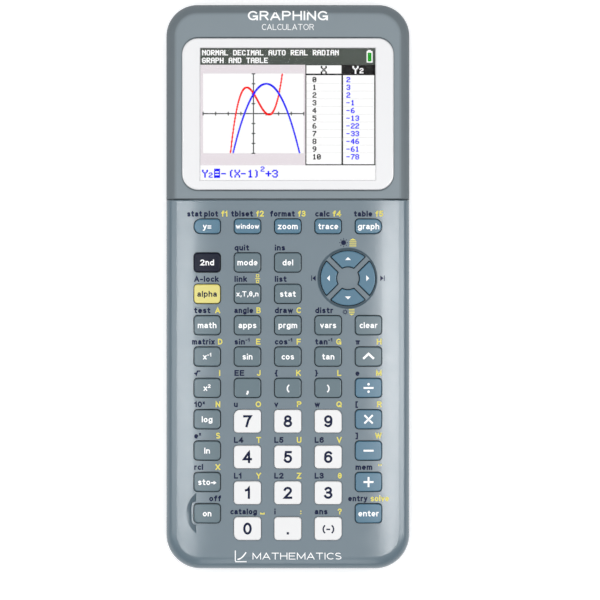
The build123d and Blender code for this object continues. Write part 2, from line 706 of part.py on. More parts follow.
save(rear_case, "rear_case")

with BuildPart() as battery_door:
    plate_width = DOOR_WIDTH - 2 * DOOR_GAP
    plate_length = DOOR_LENGTH - 2 * DOOR_GAP
    plate = rounded_plate(plate_width, plate_length, BAY_Y, FOOT_HEIGHT, DOOR_CORNER - DOOR_GAP)
    extrude(plate, amount=DOOR_PLATE - 0.05)
    extrude(tab_outline(FOOT_HEIGHT, DOOR_GAP), amount=TAB_TOP_Z - FOOT_HEIGHT)
    # Rim that fits inside the bay
    rim_width = BAY_WIDTH - 2 * DOOR_RIM_GAP
    rim_length = BAY_LENGTH - 2 * DOOR_RIM_GAP
    with BuildSketch(Plane((0, BAY_Y, FOOT_HEIGHT + JOIN))):
        RectangleRounded(rim_width, rim_length, 1)
        inner_width = rim_width - 2 * DOOR_RIM_WIDTH
        inner_length = rim_length - 2 * DOOR_RIM_WIDTH
        RectangleRounded(inner_width, inner_length, 0.8, mode=Mode.SUBTRACT)
    extrude(amount=DOOR_RIM_TOP_Z - FOOT_HEIGHT - JOIN)
    # Finger grooves
    for groove in range(GRIP_COUNT):
        with BuildSketch(Plane((0, BAY_Y + GRIP_OFFSET - GRIP_PITCH * groove, FOOT_HEIGHT))):
            SlotOverall(GRIP_LENGTH, GRIP_WIDTH)
        extrude(amount=GRIP_DEPTH, mode=Mode.SUBTRACT)
    with BuildSketch(Plane((0, DOOR_SCREW_Y, FOOT_HEIGHT))):
        Circle(DOOR_HEAD_RADIUS + 0.2)
    extrude(amount=DOOR_SCREW_SEAT_Z - FOOT_HEIGHT, mode=Mode.SUBTRACT)
    with BuildSketch(Plane((0, DOOR_SCREW_Y, FOOT_HEIGHT))):
        Circle(DOOR_SHANK_RADIUS + SCREW_GAP)
    extrude(amount=TAB_TOP_Z, mode=Mode.SUBTRACT)
save(battery_door, "battery_door")

with BuildPart() as battery_pack:
    extrude(
        rounded_plate(BATTERY_WIDTH, BATTERY_LENGTH, BAY_Y, BATTERY_Z, BATTERY_CORNER),
        amount=BATTERY_THICKNESS,
    )
    fillet(battery_pack.faces().sort_by(Axis.Z)[0].edges(), BATTERY_ROUND)
    fillet(battery_pack.faces().sort_by(Axis.Z)[-1].edges(), BATTERY_ROUND)
save(battery_pack, "battery_pack")


def screw(x, y, seat, head_radius, head_thickness, shank_radius, top):
    """Pan-head screw driven from the back, its head's seat at height seat."""
    with BuildPart() as fastener:
        with BuildSketch(Plane((x, y, seat - head_thickness))):
            Circle(head_radius)
        extrude(amount=head_thickness)
        fillet(fastener.faces().sort_by(Axis.Z)[0].edges(), head_thickness * 0.35)
        with BuildSketch(Plane((x, y, seat))):
            Circle(shank_radius)
        extrude(amount=top - seat)
        chamfer(fastener.faces().sort_by(Axis.Z)[-1].edges(), shank_radius * 0.4)
        with BuildSketch(Plane((x, y, seat - head_thickness))):
            Rectangle(head_radius * 1.2, head_radius * 0.3)
            Rectangle(head_radius * 0.3, head_radius * 1.2)
        extrude(amount=head_thickness * 0.55, mode=Mode.SUBTRACT)
    return fastener.part


with BuildPart() as case_screws:
    for x, y in post_spots:
        add(screw(x, y, HEAD_SEAT_Z - 0.02, HEAD_RADIUS, HEAD_THICKNESS, SCREW_RADIUS, SCREW_TOP_Z))
    head = (DOOR_SCREW_SEAT_Z - 0.02, DOOR_HEAD_RADIUS, DOOR_HEAD_THICKNESS)
    add(screw(0, DOOR_SCREW_Y, *head, DOOR_SHANK_RADIUS, DOOR_SCREW_TOP_Z))
save(case_screws, "case_screws")
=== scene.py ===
import math

import bmesh
import bpy
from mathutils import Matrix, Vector
from mathutils.bvhtree import BVHTree


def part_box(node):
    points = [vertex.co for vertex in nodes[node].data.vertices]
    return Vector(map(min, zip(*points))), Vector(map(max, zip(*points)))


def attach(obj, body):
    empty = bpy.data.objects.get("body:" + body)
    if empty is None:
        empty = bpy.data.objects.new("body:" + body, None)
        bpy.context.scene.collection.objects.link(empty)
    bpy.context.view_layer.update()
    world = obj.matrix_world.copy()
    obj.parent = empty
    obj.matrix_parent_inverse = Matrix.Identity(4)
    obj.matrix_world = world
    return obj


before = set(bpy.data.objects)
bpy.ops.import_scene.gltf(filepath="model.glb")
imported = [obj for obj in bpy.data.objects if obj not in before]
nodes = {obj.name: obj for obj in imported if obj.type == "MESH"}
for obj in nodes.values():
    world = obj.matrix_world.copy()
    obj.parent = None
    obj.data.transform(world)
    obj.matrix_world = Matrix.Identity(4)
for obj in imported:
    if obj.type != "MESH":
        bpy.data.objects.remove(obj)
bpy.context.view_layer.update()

# Lengths in this script are millimetres unless a name ends in _M.
MM = 0.001
BODY = "calculator_body"

# Places in the CAD part. A key's flange is hidden under the faceplate, all round the cap.
FLANGE = 0.7
FLANGE_TOP_Z = 12.5
BOARD_BACK_Z = 7.7
CONNECTOR_REACH = 5.5
USB_SIDE_X = -19.0
NEAR = 0.05


def node_box(node):
    """Lowest and highest corners of a CAD node, in millimetres."""
    low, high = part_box(node)
    return Vector(low) / MM, Vector(high) / MM


# ------------------------------------------------------------------ camera

CAMERA_HEIGHT_M = 1.5
VIEW_WIDTH_M = 0.2029
VIEW_CENTRE_M = (0.0041, -0.0045)
FACE_HEIGHT_M = 0.01
SENSOR_WIDTH = 36.0


def add_camera():
    """Straight above the key face, with the screen end up."""
    data = bpy.data.cameras.new("camera")
    data.sensor_width = SENSOR_WIDTH
    data.lens = SENSOR_WIDTH * (CAMERA_HEIGHT_M - FACE_HEIGHT_M) / VIEW_WIDTH_M
    camera = bpy.data.objects.new("camera", data)
    camera.location = (*VIEW_CENTRE_M, CAMERA_HEIGHT_M)
    bpy.context.scene.collection.objects.link(camera)
    bpy.context.scene.camera = camera


# ------------------------------------------------------------------ lights

FLOOR_GLOW = 0.3
FLOOR_HALF_M = 6.0
ROOM_GLOW = 0.5
# The strips and panels stand this high, and are aimed at the sides of the keypad.
SIDE_LIGHT_HEIGHT_M = 0.26
AIM_DROP_M = 0.246
LIGHT_OVERHANG = 34.0
STRIP_OUT_M, STRIP_WIDTH_M = 0.1, 0.014
PANEL_OUT_M, PANEL_WIDTH_M = 0.28, 0.3
AIM_OUT_M = 0.036
FOOT_PANEL_Y_M, FOOT_AIM_M = -0.37, 0.277


def add_area_light(name, place_m, size_m, watts, turn=(0.0, 0.0), glossy_only=False):
    """Light facing down, turned about X and Y."""
    data = bpy.data.lights.new(name, "AREA")
    data.shape = "RECTANGLE"
    data.size, data.size_y = size_m
    data.energy = watts
    light = bpy.data.objects.new(name, data)
    light.location = place_m
    light.rotation_euler = (*turn, 0.0)
    light.visible_camera = False
    light.visible_diffuse = not glossy_only
    bpy.context.scene.collection.objects.link(light)
    return light


def add_lighting():
    """A wide softbox overhead, its gleam, a pale room, and a strip and a panel on each side."""
    world = bpy.data.worlds.new("studio")
    bpy.context.scene.world = world
    world.use_nodes = True
    background = world.node_tree.nodes["Background"]
    background.inputs["Color"].default_value = (0.97, 0.98, 1.0, 1)
    background.inputs["Strength"].default_value = ROOM_GLOW
    softbox = add_area_light("softbox", (0, 0, 2.2), (2.4, 2.4), 38.0)
    softbox.visible_glossy = False
    add_area_light("gleam", (0, 0, 2.0), (0.42, 1.6), 4.4, glossy_only=True)
    low, high = node_box("keypad_faceplate")
    middle = (low.y + high.y) / 2 * MM
    length = (high.y - low.y + LIGHT_OVERHANG) * MM
    for side, strip_watts, panel_watts in ((-1, 0.25, 0.5), (1, 0.32, 1.3)):
        for name, out, width, watts in (
            ("strip", STRIP_OUT_M, STRIP_WIDTH_M, strip_watts),
            ("panel", PANEL_OUT_M, PANEL_WIDTH_M, panel_watts),
        ):
            turn = (0.0, side * math.atan2(out - AIM_OUT_M, AIM_DROP_M))
            place = (side * out, middle, SIDE_LIGHT_HEIGHT_M)
            add_area_light(f"{name}_{side + 1}", place, (width, length), watts, turn, True)
    turn = (math.atan2(FOOT_AIM_M, AIM_DROP_M), 0.0)
    place = (0, FOOT_PANEL_Y_M, SIDE_LIGHT_HEIGHT_M)
    add_area_light("panel_foot", place, (0.16, 0.3), 0.38, turn, True)
    bpy.context.scene.view_settings.view_transform = "Standard"


def add_floor():
    """Pale plain floor, large enough to fill every view."""
    mesh = bpy.data.meshes.new("floor")
    shape = bmesh.new()
    bmesh.ops.create_grid(shape, x_segments=2, y_segments=2, size=FLOOR_HALF_M)
    shape.to_mesh(mesh)
    shape.free()
    floor = bpy.data.objects.new("floor", mesh)
    floor.location.z = -0.0003
    bpy.context.scene.collection.objects.link(floor)
    paper = plastic("floor_paper", (0.93, 0.93, 0.93), 0.8, 2.0, 0.01, 0.004)
    shader = paper.node_tree.nodes["Principled BSDF"]
    shader.inputs["Emission Color"].default_value = (1, 1, 1, 1)
    shader.inputs["Emission Strength"].default_value = FLOOR_GLOW
    mesh.materials.append(paper)


# --------------------------------------------------------------- materials


def linear(colour):
    """sRGB parts from 0 to 255, as linear values."""
    parts = [part / 255 for part in colour]
    return tuple(p / 12.92 if p <= 0.04045 else ((p + 0.055) / 1.055) ** 2.4 for p in parts)


def new_material(name):
    """A material, its node tree and its shader."""
    material = bpy.data.materials.new(name)
    material.use_nodes = True
    tree = material.node_tree
    return material, tree, tree.nodes["Principled BSDF"]


def noise(tree, grain, detail=2.0):
    """Noise in the object's own space, its features about grain millimetres across."""
    place = tree.nodes.new("ShaderNodeTexCoord")
    texture = tree.nodes.new("ShaderNodeTexNoise")
    texture.inputs["Scale"].default_value = 1 / (grain * MM)
    texture.inputs["Detail"].default_value = detail
    tree.links.new(place.outputs["Object"], texture.inputs["Vector"])
    return texture.outputs["Fac"]


def plastic(name, colour, roughness, grain, relief, mottle, metallic=0.0, specular=0.5):
    """Moulded plastic: a fine grain in relief, a faint mottle and uneven gloss."""
    material, tree, shader = new_material(name)
    shader.inputs["Metallic"].default_value = metallic
    shader.inputs["Specular IOR Level"].default_value = specular
    tint = tree.nodes.new("ShaderNodeMix")
    tint.data_type = "RGBA"
    tint.inputs["A"].default_value = (*[c * (1 - mottle) for c in colour], 1)
    tint.inputs["B"].default_value = (*[min(1.0, c * (1 + mottle)) for c in colour], 1)
    tree.links.new(noise(tree, 9.0), tint.inputs["Factor"])
    tree.links.new(tint.outputs["Result"], shader.inputs["Base Color"])
    gloss = tree.nodes.new("ShaderNodeMapRange")
    gloss.inputs["To Min"].default_value = max(0.02, roughness - 0.05)
    gloss.inputs["To Max"].default_value = roughness + 0.05
    tree.links.new(noise(tree, 3.0, 4.0), gloss.inputs["Value"])
    tree.links.new(gloss.outputs["Result"], shader.inputs["Roughness"])
    bump = tree.nodes.new("ShaderNodeBump")
    bump.inputs["Strength"].default_value = 0.5
    bump.inputs["Distance"].default_value = relief * MM
    tree.links.new(noise(tree, grain, 3.0), bump.inputs["Height"])
    tree.links.new(bump.outputs["Normal"], shader.inputs["Normal"])
    return material


def shade_edges(material, level):
    """Paints shade into a paint: darkens it to level where its surface turns away from straight up."""
    tree = material.node_tree
    shader = tree.nodes["Principled BSDF"]
    geometry = tree.nodes.new("ShaderNodeNewGeometry")
    parts = tree.nodes.new("ShaderNodeSeparateXYZ")
    tree.links.new(geometry.outputs["Normal"], parts.inputs["Vector"])
    shade = tree.nodes.new("ShaderNodeMapRange")
    shade.inputs["From Min"].default_value = 0.93
    shade.inputs["From Max"].default_value = 0.992
    shade.inputs["To Min"].default_value = level
    tree.links.new(parts.outputs["Z"], shade.inputs["Value"])
    darker = tree.nodes.new("ShaderNodeMix")
    darker.data_type = "RGBA"
    darker.blend_type = "MULTIPLY"
    darker.inputs["Factor"].default_value = 1.0
    tree.links.new(shader.inputs["Base Color"].links[0].from_socket, darker.inputs["A"])
    tree.links.new(shade.outputs["Result"], darker.inputs["B"])
    tree.links.new(darker.outputs["Result"], shader.inputs["Base Color"])


def screen_light(name, colour):
    """Lit screen: a flat glow with the faint rows of the panel's dots in it."""
    material, tree, shader = new_material(name)
    shader.inputs["Base Color"].default_value = (0.01, 0.01, 0.01, 1)
    shader.inputs["Specular IOR Level"].default_value = 0.0
    shader.inputs["Roughness"].default_value = 0.4
    shader.inputs["Emission Strength"].default_value = 1.0
    place = tree.nodes.new("ShaderNodeTexCoord")
    rows = tree.nodes.new("ShaderNodeTexWave")
    rows.bands_direction = "Y"
    rows.inputs["Scale"].default_value = 0.314 / (DOT_HEIGHT * MM)
    tree.links.new(place.outputs["Object"], rows.inputs["Vector"])
    glow = tree.nodes.new("ShaderNodeMix")
    glow.data_type = "RGBA"
    glow.inputs["A"].default_value = (*[c * 0.97 for c in colour], 1)
    glow.inputs["B"].default_value = (*colour, 1)
    tree.links.new(rows.outputs["Fac"], glow.inputs["Factor"])
    tree.links.new(glow.outputs["Result"], shader.inputs["Emission Color"])
    return material


# Low, so that the lens doesn't veil the screen with reflections.
LENS_IOR = 1.06


def clear_plastic(name):
    """Clear lens with a faint moulding ripple."""
    material, tree, shader = new_material(name)
    shader.inputs["Base Color"].default_value = (1, 1, 1, 1)
    shader.inputs["Transmission Weight"].default_value = 1.0
    shader.inputs["Roughness"].default_value = 0.0
    shader.inputs["IOR"].default_value = LENS_IOR
    ripple = tree.nodes.new("ShaderNodeBump")
    ripple.inputs["Strength"].default_value = 0.05
    ripple.inputs["Distance"].default_value = 0.001 * MM
    tree.links.new(noise(tree, 14.0), ripple.inputs["Height"])
    tree.links.new(ripple.outputs["Normal"], shader.inputs["Normal"])
    return material


def paint(node, *materials):
    """Gives a CAD node its finished materials."""
    slots = nodes[node].data.materials
    slots.clear()
    for material in materials:
        slots.append(material)


# The screen's size and its dots
SCREEN_DOTS = (320, 240)
LENS_BORDER = 0.9
LENS_DEPTH = 0.83
bezel_low, bezel_high = node_box("display_window")
SCREEN_X = (bezel_low.x + bezel_high.x) / 2
SCREEN_Y = (bezel_low.y + bezel_high.y) / 2
SCREEN_WIDTH, SCREEN_HEIGHT = 59.05, 44.5
DOT_WIDTH = SCREEN_WIDTH / SCREEN_DOTS[0]
DOT_HEIGHT = SCREEN_HEIGHT / SCREEN_DOTS[1]

add_camera()
add_lighting()
add_floor()

HOUSING = plastic("housing_paint", linear((130, 141, 147)), 0.5, 0.35, 0.006, 0.02, 0, 0.15)
# Painted shade: the housing's colour darkens towards its edges, where the surface tilts away from
# straight up.
shade_edges(HOUSING, 0.62)
FACEPLATE = plastic("faceplate_paint", linear((96, 113, 123)), 0.24, 0.35, 0.004, 0.02)
# Painted shade: a dark paint for the walls of each key below the faceplate, standing in for the shade
# in the gap round the key.
SKIRT_PAINTED_SHADE = plastic("key_skirt_painted_shade", linear((30, 36, 42)), 0.6, 0.3, 0.004, 0.04, 0, 0.1)
REAR = plastic("rear_plastic", linear((96, 107, 115)), 0.5, 0.6, 0.02, 0.03)
BEZEL = plastic("bezel_plastic", linear((227, 227, 228)), 0.22, 0.8, 0.002, 0.006)
LENS = clear_plastic("lens_clear")
BLUE_KEY = plastic("blue_key", linear((72, 112, 134)), 0.32, 0.3, 0.004, 0.02, 0, 0.3)
GREY_KEY = plastic("grey_key", linear((90, 109, 117)), 0.32, 0.3, 0.004, 0.02, 0, 0.3)
WHITE_KEY = plastic("white_key", linear((231, 231, 231)), 0.36, 0.3, 0.003, 0.008, 0, 0.3)
NAVY_KEY = plastic("navy_key", linear((14, 20, 38)), 0.34, 0.3, 0.004, 0.03, 0, 0.1)
YELLOW_KEY = plastic("yellow_key", linear((216, 206, 116)), 0.36, 0.3, 0.003, 0.02, 0, 0.3)
WHITE_INK = plastic("white_ink", linear((252, 252, 252)), 0.5, 0.2, 0.002, 0.01)
NAVY_INK = plastic("navy_ink", linear((4, 18, 54)), 0.5, 0.2, 0.002, 0.04, 0, 0.1)
YELLOW_INK = plastic("yellow_ink", linear((228, 216, 92)), 0.5, 0.2, 0.002, 0.03, 0, 0.2)
BOARD = plastic("solder_mask", linear((18, 92, 52)), 0.3, 1.2, 0.02, 0.12)
CHIP = plastic("chip_plastic", linear((34, 35, 38)), 0.4, 0.8, 0.006, 0.05)
LIGHT_CAP = plastic("light_cap", linear((226, 230, 226)), 0.25, 0.8, 0.002, 0.02)
SILICONE = plastic("silicone", linear((206, 206, 200)), 0.6, 0.8, 0.006, 0.03)
BATTERY = plastic("battery_wrap", linear((52, 54, 58)), 0.35, 2.5, 0.01, 0.05)
STEEL = plastic("zinc_steel", linear((176, 178, 180)), 0.3, 0.25, 0.004, 0.08, 1.0)
PANEL = plastic("panel_glass", linear((22, 24, 26)), 0.08, 3.0, 0.001, 0.1)

BLUE_NODES = [
    f"key_{word}"
    for word in (
        "y_equals window zoom trace graph divide multiply minus plus enter up down left right"
    ).split()
]
WHITE_NODES = [f"key_{word}" for word in "0 1 2 3 4 5 6 7 8 9 point negative".split()]
key_nodes = sorted(node for node in nodes if node.startswith("key_"))
for node in key_nodes:
    if node in BLUE_NODES:
        paint(node, BLUE_KEY)
    elif node in WHITE_NODES:
        paint(node, WHITE_KEY)
    else:
        paint(node, GREY_KEY)
paint("key_2nd", NAVY_KEY)
paint("key_alpha", YELLOW_KEY)
paint("display_housing", HOUSING)
paint("keypad_faceplate", FACEPLATE)
paint("rear_case", REAR)
paint("battery_door", REAR)
paint("display_window", BEZEL, LENS)
paint("display_module", PANEL)
paint("main_board", BOARD, CHIP, STEEL, LIGHT_CAP)
paint("dome_mat", SILICONE)
paint("battery_pack", BATTERY)
paint("case_screws", STEEL)


def paint_skirts():
    """Painted shade: the walls of a key below the faceplate's face are painted dark, like the shaded
    gap round them.
    """
    for node in key_nodes:
        nodes[node].data.materials.append(SKIRT_PAINTED_SHADE)
        for face in nodes[node].data.polygons:
            highest = max(nodes[node].data.vertices[i].co.z for i in face.vertices) / MM
            if highest < FLANGE_TOP_Z + NEAR:
                face.material_index = 1


def paint_lens():
    """The window node holds two solids. The lens is the one under the bezel's lip."""
    mesh = nodes["display_window"].data
    reach = Vector((SCREEN_WIDTH / 2 + LENS_BORDER, SCREEN_HEIGHT / 2 + LENS_BORDER))
    lens_top = bezel_high.z - LENS_DEPTH
    for face in mesh.polygons:
        corners = [mesh.vertices[i].co / MM for i in face.vertices]
        inside = all(
            abs(c.x - SCREEN_X) < reach.x and abs(c.y - SCREEN_Y) < reach.y and c.z < lens_top
            for c in corners
        )
        face.material_index = 1 if inside else 0


def paint_board():
    """The board's node also holds its chips, the socket, the jack and the light."""
    mesh = nodes["main_board"].data
    sheet_end = node_box("main_board")[1].y - CONNECTOR_REACH
    for face in mesh.polygons:
        corners = [mesh.vertices[i].co / MM for i in face.vertices]
        x = sum(c.x for c in corners) / len(corners)
        if all(c.y > sheet_end for c in corners):
            face.material_index = 1 if x > 0 else 2 if x > USB_SIDE_X else 3
        elif min(c.z for c in corners) < BOARD_BACK_Z - NEAR:
            face.material_index = 1


paint_skirts()
paint_lens()
paint_board()

# ------------------------------------------------------- flat printed shapes

INK_RISE = 0.03
INK_SINK = 0.04
LAYER_RISE = 0.004


def prism(shape, points, low=-1.0, high=1.0):
    """Closed prism on a polygon, between two heights. print_on moves -1 and 1 to the ink's faces."""
    bottom = [shape.verts.new((x, y, low)) for x, y in points]
    top = [shape.verts.new((x, y, high)) for x, y in points]
    shape.faces.new(list(reversed(bottom)))
    shape.faces.new(top)
    count = len(points)
    for i in range(count):
        j = (i + 1) % count
        shape.faces.new((bottom[i], bottom[j], top[j], top[i]))


def rectangle(shape, x0, y0, x1, y1, low, high):
    prism(shape, [(x0, y0), (x1, y0), (x1, y1), (x0, y1)], low, high)


def circle(x, y, radius, steps=20):
    turns = [2 * math.pi * i / steps for i in range(steps)]
    return [(x + radius * math.cos(t), y + radius * math.sin(t)) for t in turns]


def subdivided(points, closed, step=0.6):
    """The same path with no piece longer than step, so that it can follow a curved face."""
    result = []
    count = len(points)
    for i in range(count if closed else count - 1):
        start, end = Vector(points[i]), Vector(points[(i + 1) % count])
        pieces = max(1, math.ceil((end - start).length / step))
        result += [tuple(start.lerp(end, k / pieces)) for k in range(pieces)]
    return result if closed else result + [tuple(points[-1])]


def band(shape, points, width, closed=False, low=-1.0, high=1.0):
    """Line of even width along points, as one closed strip."""
    points = subdivided(points, closed)
    count = len(points)
    rings = []
    for i, point in enumerate(points):
        here = Vector(point)
        before = Vector(points[i - 1]) if closed or i > 0 else None
        after = Vector(points[(i + 1) % count]) if closed or i < count - 1 else None
        inward = (here - before).normalized() if before else None
        outward = (after - here).normalized() if after else None
        inward, outward = inward or outward, outward or inward
        along = (inward + outward).normalized()
        reach = Vector((-along.y, along.x)) * width / 2 / max(0.45, along.dot(outward))
        left, right = here + reach, here - reach
        corners = [(left, high), (right, high), (right, low), (left, low)]
        rings.append([shape.verts.new((*place, z)) for place, z in corners])
    for i in range(count if closed else count - 1):
        ring, following = rings[i], rings[(i + 1) % count]
        for side in range(4):
            other = (side + 1) % 4
            shape.faces.new((ring[side], ring[other], following[other], following[side]))
    if not closed:
        shape.faces.new(rings[0])
        shape.faces.new(list(reversed(rings[-1])))


# ---------------------------------------------------------------- lettering


# Each letter is a few strokes along its middle line: baseline at 0, capitals to 1.
X_HEIGHT = 0.68


def arc(x, y, rx, ry, start, end):
    """Points along an ellipse, angles in degrees anticlockwise from the right."""
    steps = max(3, round(abs(end - start) / 24))
    turns = [math.radians(start + (end - start) * i / steps) for i in range(steps + 1)]
    return [(x + rx * math.cos(t), y + ry * math.sin(t)) for t in turns]


def loop(x, y, rx, ry):
    """Closed ellipse: its first point is not repeated."""
    return ("closed", arc(x, y, rx, ry, 0, 336))


def stem(x, low=0.0, high=1.0):
    return [(x, low), (x, high)]


def dot(x, y):
    return [(x, y - 0.005), (x, y + 0.005)]


BOWL = loop(0.24, 0.34, 0.24, 0.34)
ARCH = [(0, 0.4)] + arc(0.22, 0.44, 0.22, 0.24, 170, 0) + [(0.44, 0)]
SMALL_S = [(0.34, 0.62), (0.24, 0.68), (0.1, 0.66), (0.02, 0.55), (0.06, 0.42), (0.2, 0.35)]
SMALL_S += [(0.36, 0.28), (0.41, 0.14), (0.32, 0.02), (0.18, 0), (0.07, 0.05)]
CAPITAL_S = [(1.32 * x, 1.47 * y) for x, y in SMALL_S]
CAPITAL_P = [(0, 0), (0, 1), (0.34, 1)] + arc(0.34, 0.75, 0.22, 0.25, 80, -90) + [(0, 0.5)]

BRACE = [(0.26, 1.04), (0.14, 0.98), (0.14, 0.56), (0, 0.44)]
BRACE += [(0.14, 0.32), (0.14, -0.1), (0.26, -0.16)]

